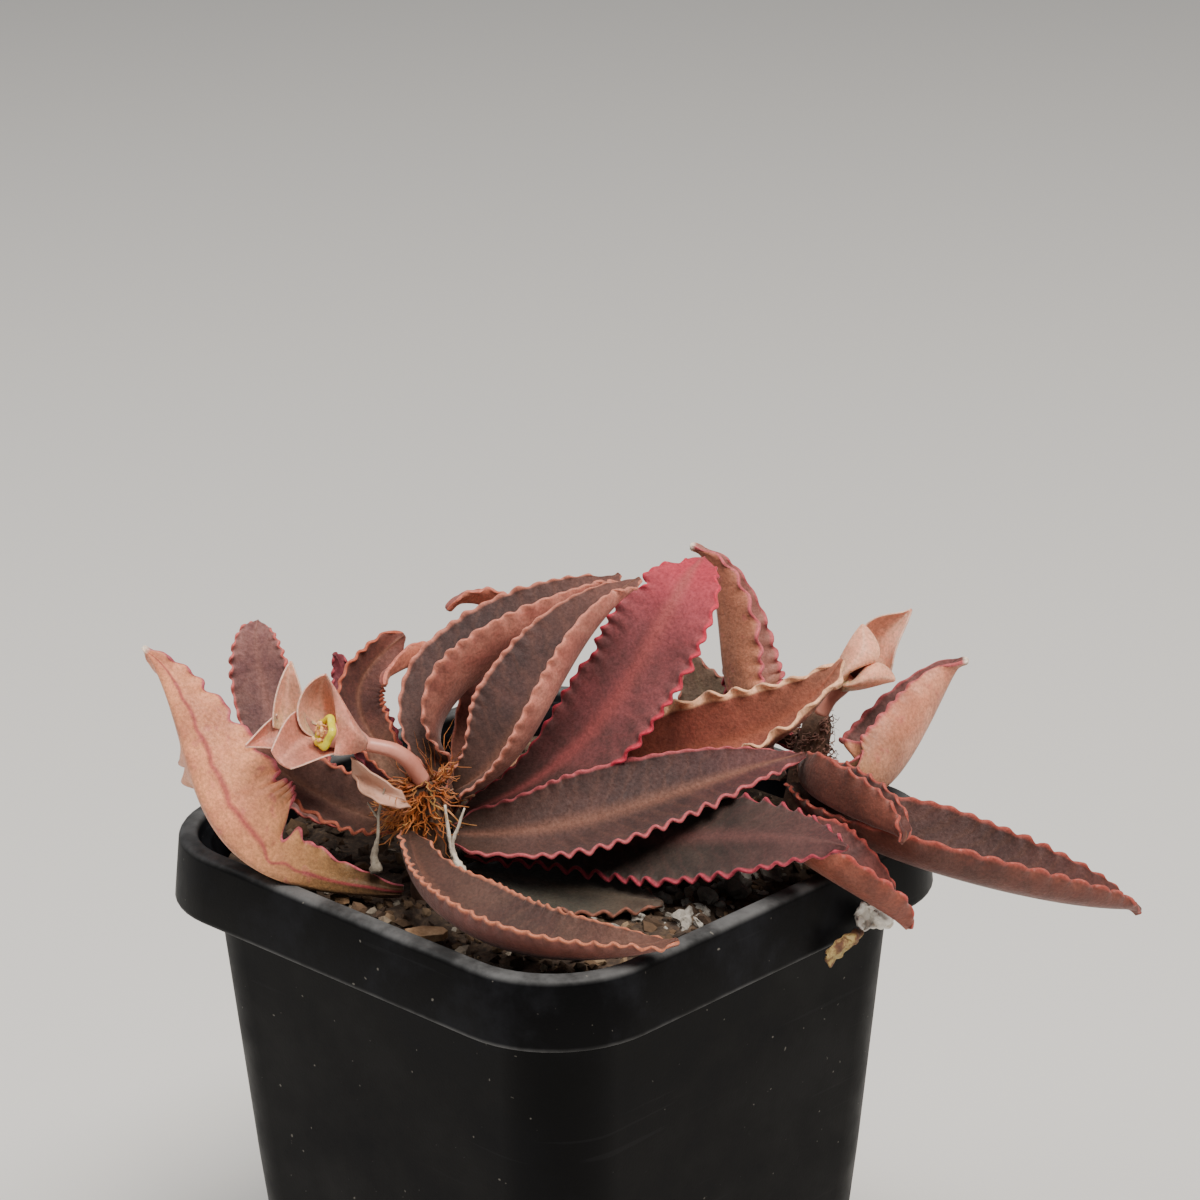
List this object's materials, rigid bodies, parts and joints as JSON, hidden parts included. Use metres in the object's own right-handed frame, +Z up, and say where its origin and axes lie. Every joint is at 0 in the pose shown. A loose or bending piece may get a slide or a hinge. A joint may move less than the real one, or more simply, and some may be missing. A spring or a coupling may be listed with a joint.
{
  "type": "potted succulent plant",
  "caption": "Small potted succulent with low crowns of long, channelled, crinkle-edged leaves and small cupped flower heads, in a square black nursery pot.",
  "frame": {"origin": "centre of the underside of the pot's foot", "axes": "+Z up out of the pot; the pot's straight sides run along X and Y; the pot's corner towards +X and -Y is the one nearest the viewer in the picture"},
  "size_m": [0.0905, 0.0781, 0.1069],
  "materials": {
    "leaf_peach": "satin, waxy leaf surface",
    "leaf_tan_peach": "satin, waxy leaf surface",
    "leaf_coral": "satin, waxy leaf surface",
    "leaf_orange_red": "satin, waxy leaf surface",
    "leaf_crimson": "satin, waxy leaf surface",
    "leaf_crimson_brown": "satin, waxy leaf surface",
    "leaf_rose": "satin, waxy leaf surface",
    "leaf_rose_brown": "satin, waxy leaf surface",
    "leaf_grey_brown": "satin, waxy leaf surface",
    "leaf_grey_green": "satin, waxy leaf surface",
    "leaf_dark_green": "satin, waxy leaf surface",
    "leaf_dark_mauve": "satin, waxy leaf surface",
    "pot_plastic": "satin black, a little dusty",
    "potting_mix": "matt, dry and crumbly",
    "stipules_brown": "matt, bristly",
    "stipules_dark": "matt, scaly",
    "bract_pink": "satin, soft",
    "bract_dry": "matt, dry",
    "twig_dry": "matt, weathered",
    "bark_chip": "matt",
    "papery_scrap": "matt, dry"
  },
  "bodies": {
    "root": {"pot": "pot_plastic", "soil": "potting_mix", "crown_left": "stipules_brown", "crown_right": "stipules_dark", "leaf_peach_left": "leaf_peach", "leaf_upright_left": "leaf_crimson_brown", "leaf_under_flower": "leaf_dark_mauve", "leaf_crimped_left": "leaf_crimson_brown", "leaf_small_dark": "leaf_crimson", "leaf_claw": "leaf_rose", "leaf_curled_back": "leaf_rose", "leaf_arched_far": "leaf_grey_brown", "leaf_arched_near": "leaf_grey_brown", "leaf_crimson": "leaf_crimson", "leaf_long_front": "leaf_grey_brown", "leaf_front_low": "leaf_coral", "leaf_soil_level": "leaf_dark_green", "leaf_dark_front": "leaf_dark_green", "leaf_orange": "leaf_orange_red", "leaf_long_right": "leaf_rose_brown", "leaf_hooked_right": "leaf_rose_brown", "leaf_raised_right": "leaf_peach", "leaf_upright_right": "leaf_tan_peach", "leaf_over_rim": "leaf_coral", "leaf_grey_back": "leaf_grey_green", "leaf_crinkled_back": "leaf_crimson", "flower_left": "bract_pink", "flower_right": "bract_pink", "bract_old": "bract_dry", "twig_forked": "twig_dry", "twig_left": "twig_dry", "chip_bark": "bark_chip", "chip_pale": "bark_chip", "scrap_papery": "papery_scrap"}
  },
  "joints": []
}
